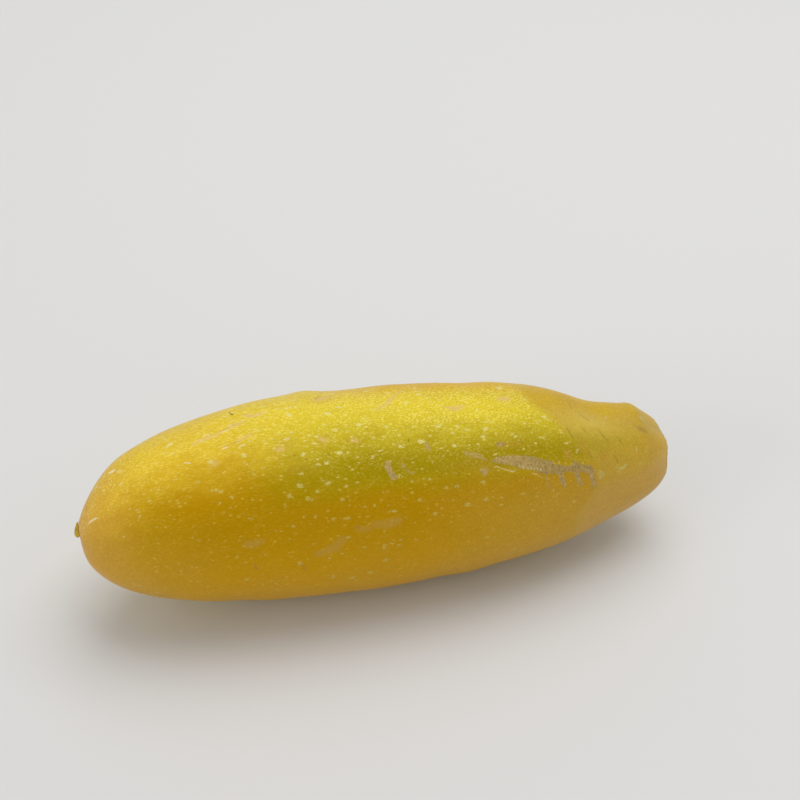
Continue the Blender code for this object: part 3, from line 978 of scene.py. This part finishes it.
class Skin(Paint):
    """The skin's material: first its noises and masks, then the colours laid over one another."""

    def __init__(self):
        super().__init__("zucchini_skin")
        self.add_noises()
        self.add_zones()
        self.add_grains()
        self.add_dots()
        self.add_marks()
        self.add_dry_ends()

    def add_noises(self):
        """Noises that the layers share, and two sums of noises that stray about 0."""
        self.whole = self.coordinates()
        cloud = self.noise(self.whole, size=9, detail=3.0)
        self.patch = self.noise(self.coordinates(along=0.45, shift=31.0), size=3.0, detail=3.0, roughness=0.6)
        self.grain = self.noise(self.whole, size=0.7, detail=2.0, roughness=0.6)
        self.fine = self.noise(self.whole, size=0.4, detail=1.0)
        self.lines = self.noise(self.coordinates(along=3.0, shift=7.0), size=1.3, detail=1.0)
        self.drift = self.noise(self.coordinates(along=0.6, shift=60.0), size=22, detail=2.0)
        self.stray = (cloud - 0.5) + (self.patch - 0.5) * 1.2
        self.ragged = (self.grain - 0.5) + (self.fine - 0.5) * 1.2

    def zone(self, name):
        """A zone of the mesh whose reach strays where it is neither full nor empty."""
        reach = self.number(name)
        return (reach + self.stray * reach * (1 - reach) * STRAY_REACH).clamped()

    def add_zones(self):
        """Zones that several layers share: how ripe the skin is, and how strong its grains and dots are, most
        on the sheen, where the grains are partly painted glints.
        """
        self.lime = self.zone("lime")
        self.green = self.zone("green")
        self.gold = self.zone("gold")
        self.amber = self.zone("amber")
        self.crest = self.number("crest")
        self.back = self.number("back")
        self.hatched = self.number("hatched")
        self.calm = self.number("calm")
        self.ends = self.number("blossom_end").at_least(self.number("stem_end"))
        self.ripe = self.gold.at_least(self.amber).at_least(self.number("stem_end") * 0.9)
        glint_and_grain = (1 - self.lime * 0.2) * (1 - self.green * 0.72) * (1 - self.ripe)
        glint_and_grain = glint_and_grain * (1 - self.back * 0.65) * (1 - self.hatched * 0.25)
        self.glint_and_grain = glint_and_grain * (1 - self.calm * 0.48)

    def add_grains(self):
        """Light grains in loose clusters, round along the middle and drawn out lengthwise at the ends; on the
        sheen they are partly painted glints.
        """
        round_grains = self.dots(self.coordinates(along=0.75, shift=20.0), GRAIN_SPACING)[0]
        long_grains = self.dots(self.coordinates(along=0.45, shift=24.0), LONG_GRAIN_SPACING)[0]
        grains = (round_grains + (long_grains - round_grains) * self.hatched).step(0.6, 0.22)
        cluster = self.noise(self.coordinates(along=0.6, shift=41.0), size=2.4, detail=2.0)
        self.grains = grains * (cluster.step(0.3, 0.65) * 0.7 + 0.3)

    def add_dots(self):
        """Pale dots of two sizes, each as large as its own number says; they thin out at the ends."""
        tiny, tiny_size = self.dots(self.coordinates(along=0.6), TINY_DOT_SPACING)
        tiny_dots = (tiny + (self.fine - 0.5) * 0.25 - tiny_size * 0.26).step(0.06, -0.06)
        self.tiny_dots = tiny_dots * (1 - 0.5 * self.ends)
        small, small_size = self.dots(self.coordinates(along=0.7, shift=5.0), SMALL_DOT_SPACING)
        small_dots = (small + (self.grain - 0.5) * 0.4 - small_size * small_size * 0.20).step(0.03, -0.03)
        self.small_dots = small_dots * (1 - self.ends)

    def mark(self, name):
        """A mark that the mesh carries as a signed distance: 0 outside and 1 inside a ragged edge."""
        ragged, outside, inside = MARK_EDGES[name]
        return (self.number(name) + self.ragged * ragged).step(outside, inside)

    def add_marks(self):
        """Masks of the marks; a graze also comes and goes in patches, and a smudge is grainy."""
        self.large_flecks = self.mark("large_fleck")
        self.dab = self.mark("dab")
        self.graze = (self.number("graze") + (self.patch - 0.5) * 2.6 + self.ragged * 1.7).step(0.7, -0.6)
        self.smudge = self.mark("smudge") * (0.5 + 0.5 * self.grain.step(0.38, 0.56))
        self.nick = self.mark("nick")
        self.cork = self.mark("cork")
        self.thin_cork = self.mark("thin_cork")
        self.fringe = self.mark("fringe")
        self.scratch = self.mark("scratch")
        self.speck = self.mark("speck")

    def add_dry_ends(self):
        """The blossom foot and the stem scar, and streaks that run outwards from their middles."""
        across = self.number("turn_cosine") * STREAK_DENSITY
        up = self.number("turn_sine") * STREAK_DENSITY
        rays = {0: across, 1: up, 2: self.number("radius") * 0.5}
        ray = self.node("ShaderNodeCombineXYZ", {}, rays)
        self.streaks = self.noise(ray, size=1.0, detail=3.0, roughness=0.6)
        self.foot = self.number("foot")
        self.scar = self.number("stem_scar")
        self.dry = (self.cork + self.foot + self.scar).clamped()

    def stem_end_tone(self):
        """The stem end: beige with broad tints, and faint lines across the olive one."""
        tone = self.layered(
            STEM_BEIGE,
            (self.zone("stem_olive"), STEM_OLIVE),
            (self.zone("stem_rose"), STEM_ROSE),
            (self.zone("stem_gold"), STEM_GOLD),
            (self.zone("stem_pale") * 0.7, STEM_PALE),
        )
        return self.scaled(tone, 1 + (self.lines - 0.5) * self.number("stem_olive") * 0.35)

    def broad_tone(self):
        """The skin without its texture: yellow, and the zones of colour laid over it in turn, among them a
        painted sheen, a painted reflection along the top edge and a partly painted sheen at the blossom end.
        """
        return self.layered(
            YELLOW,
            (self.lime, LIME),
            # Painted sheen along the lit top
            (self.number("painted_sheen") * 0.6, PAINTED_SHEEN_YELLOW),
            # Painted reflection along the top edge
            (self.crest, TOP_EDGE_PAINTED_REFLECTION),
            (self.gold, GOLD),
            (self.green, GREEN),
            (self.amber, AMBER),
            (self.zone("tan") * 0.8, TAN),
            # The blossom end's beige: partly its own colour, partly a painted grazing sheen
            (self.zone("blossom_end") * 0.9, BLOSSOM_BEIGE_AND_SHEEN),
            (self.zone("stem_end") * 0.95, self.stem_end_tone()),
            (self.number("stem_line") * 0.2, STEM_LINE),
            (self.zone("rust"), RUST),
            (self.drift.step(0.42, 0.66) * self.back * 0.5, GOLD),
            (self.drift.step(0.52, 0.36) * self.back * 0.4, LIME),
            (self.number("ground") * (0.3 + 0.4 * self.patch), GROUND),
            (self.patch.step(0.45, 0.85) * 0.25, GOLD),
            (self.patch.step(0.5, 0.2) * 0.15, TAN),
        )

    def cork_tone(self):
        """Cork: two browns in grains, paler at its edge and darker at the comb's end, with dark pricks
        and lines across it."""
        pricks, prick_size = self.dots(self.coordinates(shift=3.0), PRICK_SPACING)
        tone = self.layered(
            self.mix(self.grain.step(0.35, 0.7), CORK, CORK_PALE),
            (self.number("cork").step(-0.45, -0.1) * 0.35, CORK_PALE),
            (pricks.step(0.42, 0.22) * (0.3 + 0.5 * prick_size), CORK_DARK),
        )
        tone = self.scaled(tone, 1.06 + (self.lines - 0.5) * 0.8)
        return self.mix(self.number("comb_end") * 0.65, tone, self.scaled(tone, 0.75))

    def foot_tone(self):
        """The blossom foot: streaked, and darker in its middle."""
        tone = self.mix(self.streaks.step(0.35, 0.65), FOOT, FOOT_PALE)
        return self.mix(self.number("radius").step(1.3, 0.3) * 0.8, tone, FOOT_DARK)

    def scar_tone(self):
        """The stem scar: a streaked, grainy pith with dark fibre bundles, and a brown rim round it."""
        pith = self.layered(
            self.mix(self.streaks.step(0.4, 0.6), SCAR_CORK, SCAR_PALE),
            (self.grain.step(0.5, 0.3) * 0.35, SCAR_DARK),
            (self.number("bundles") * 0.75, SCAR_DARK),
        )
        return self.mix(self.number("pith"), SCAR_RIM, pith)

    def tone(self):
        """The whole skin: its broad colours made uneven, then grains with painted glints on the sheen, dots,
        marks and the dry ends.
        """
        plain = self.broad_tone()
        # Along the top edge the grains take the riper pale, as part of its painted reflection
        pale = self.mix(self.ripe.at_least(self.crest * 0.8), PALE, PALE_GOLD)
        # On the sheen the grains' colour is partly painted glints, paler and bluer than the skin
        grain_and_glint_tone = self.mix(0.45, self.scaled(plain, 1.4), pale)
        speckle = 0.21 + 0.4 * self.glint_and_grain + 0.22 * self.number("stem_side")
        fleck_tone = self.mix(self.ripe, FLECK, FLECK_GOLD)
        cork_tone = self.cork_tone()
        return self.layered(
            self.scaled(plain, 0.95 - self.glint_and_grain * 0.04 + (self.fine - 0.5) * speckle),
            (self.grains * (0.29 - 0.12 * self.calm + 0.70 * self.glint_and_grain), grain_and_glint_tone),
            (self.tiny_dots * (0.44 + 0.1 * self.glint_and_grain), pale),
            (self.small_dots * (0.5 + 0.1 * self.glint_and_grain), fleck_tone),
            (self.large_flecks * 0.65, fleck_tone),
            (self.dab * 0.55, DAB),
            (self.graze * (0.7 - self.ripe * 0.28), self.mix(self.ripe, GRAZE, GRAZE_GOLD)),
            (self.smudge * 0.6, SMUDGE),
            (self.nick * 0.4, NICK),
            (self.cork * 0.88, cork_tone),
            (self.thin_cork * 0.6, cork_tone),
            (self.fringe * 0.85, FRINGE),
            (self.scratch * 0.8, self.mix(self.ripe.at_least(self.green), SCRATCH, SCRATCH_GOLD)),
            (self.speck * 0.8, SPECK),
            (self.foot, self.foot_tone()),
            (self.scar, self.scar_tone()),
        )

    def height(self):
        """How far the texture stands up, in millimetres."""
        height = self.grains * (0.04 + 0.06 * self.glint_and_grain)
        height = height + self.tiny_dots * 0.02 + self.small_dots * 0.02 + self.large_flecks * 0.02
        height = height + self.dry * self.noise(self.whole, size=0.35, detail=3.0, roughness=0.7) * 0.10
        height = height + (self.foot + self.scar) * self.streaks * 0.15
        return height + self.scratch * 0.04 - self.nick * 0.06 + self.cork * self.lines * 0.08


def skin_material():
    """The skin: waxy where it is fresh and rough where it is dry, and textured by its own height."""
    skin = Skin()
    bump = {"Height": skin.height(), "Distance": MM, "Strength": 1.0}
    roughness = WAXY_ROUGHNESS + skin.dry * DRY_ROUGHER + (skin.grain - 0.5) * 0.12 + skin.graze * 0.1
    # The painted light and shade lighten and darken the whole colour here
    skin.link("Base Color", skin.scaled(skin.tone(), 0.94 - skin.glint_and_grain * 0.04 + skin.number("shade")))
    skin.link("Roughness", roughness)
    skin.link("Normal", skin.node("ShaderNodeBump", {}, bump))
    skin.shader.inputs["Specular IOR Level"].default_value = WAXY_SPECULAR
    skin.shader.inputs["Specular Tint"].default_value = WAXY_TINT
    return skin.material


def floor_material():
    """Plain pale floor."""
    paper = Paint("floor_paper")
    paper.shader.inputs["Base Color"].default_value = FLOOR
    paper.shader.inputs["Roughness"].default_value = FLOOR_ROUGHNESS
    return paper.material


def add_floor():
    """A large flat floor under the fruit."""
    near, far = -FLOOR_HALF, FLOOR_HALF
    corners = [(near, near, 0), (far, near, 0), (far, far, 0), (near, far, 0)]
    mesh = bpy.data.meshes.new("floor")
    mesh.from_pydata(corners, [], [(0, 1, 2, 3)])
    mesh.materials.append(floor_material())
    floor = bpy.data.objects.new("floor", mesh)
    bpy.context.scene.collection.objects.link(floor)


def aim(obj, place, target):
    """Puts an object at a place and turns its -Z axis to the target."""
    obj.location = place
    obj.rotation_euler = (Vector(target) - Vector(place)).to_track_quat("-Z", "Y").to_euler()


def hang(lamp, place):
    """Puts a lamp at a place, shining at the fruit."""
    light = bpy.data.objects.new(lamp.name, lamp)
    bpy.context.scene.collection.objects.link(light)
    aim(light, place, LAMP_AIM)


def add_lights():
    """The soft box, the weak light from the left and the pale room."""
    softbox = bpy.data.lights.new("key_softbox", "AREA")
    softbox.shape = "RECTANGLE"
    softbox.size = SOFTBOX_SIDES[0]
    softbox.size_y = SOFTBOX_SIDES[1]
    softbox.energy = SOFTBOX_ENERGY
    hang(softbox, SOFTBOX_PLACE)
    fill = bpy.data.lights.new("left_fill", "SUN")
    fill.energy = FILL_ENERGY
    fill.angle = FILL_SPREAD
    hang(fill, FILL_PLACE)
    world = bpy.data.worlds.new("room")
    world.use_nodes = True
    bpy.context.scene.world = world
    background = world.node_tree.nodes["Background"]
    background.inputs["Color"].default_value = ROOM
    background.inputs["Strength"].default_value = ROOM_LIGHT


def add_camera():
    """The camera at the photographed angle."""
    lens = bpy.data.cameras.new("camera")
    lens.lens = CAMERA_LENS
    lens.sensor_width = SENSOR_WIDTH
    lens.clip_start = NEAREST_SEEN
    camera = bpy.data.objects.new("camera", lens)
    bpy.context.scene.collection.objects.link(camera)
    aim(camera, CAMERA_PLACE, CAMERA_AIM)
    bpy.context.scene.camera = camera


add_floor()
add_lights()
add_camera()
fruit = build_fruit()
fruit.data.materials.append(skin_material())
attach(fruit, "root")
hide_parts("zucchini")
bpy.context.scene.view_settings.view_transform = "Standard"
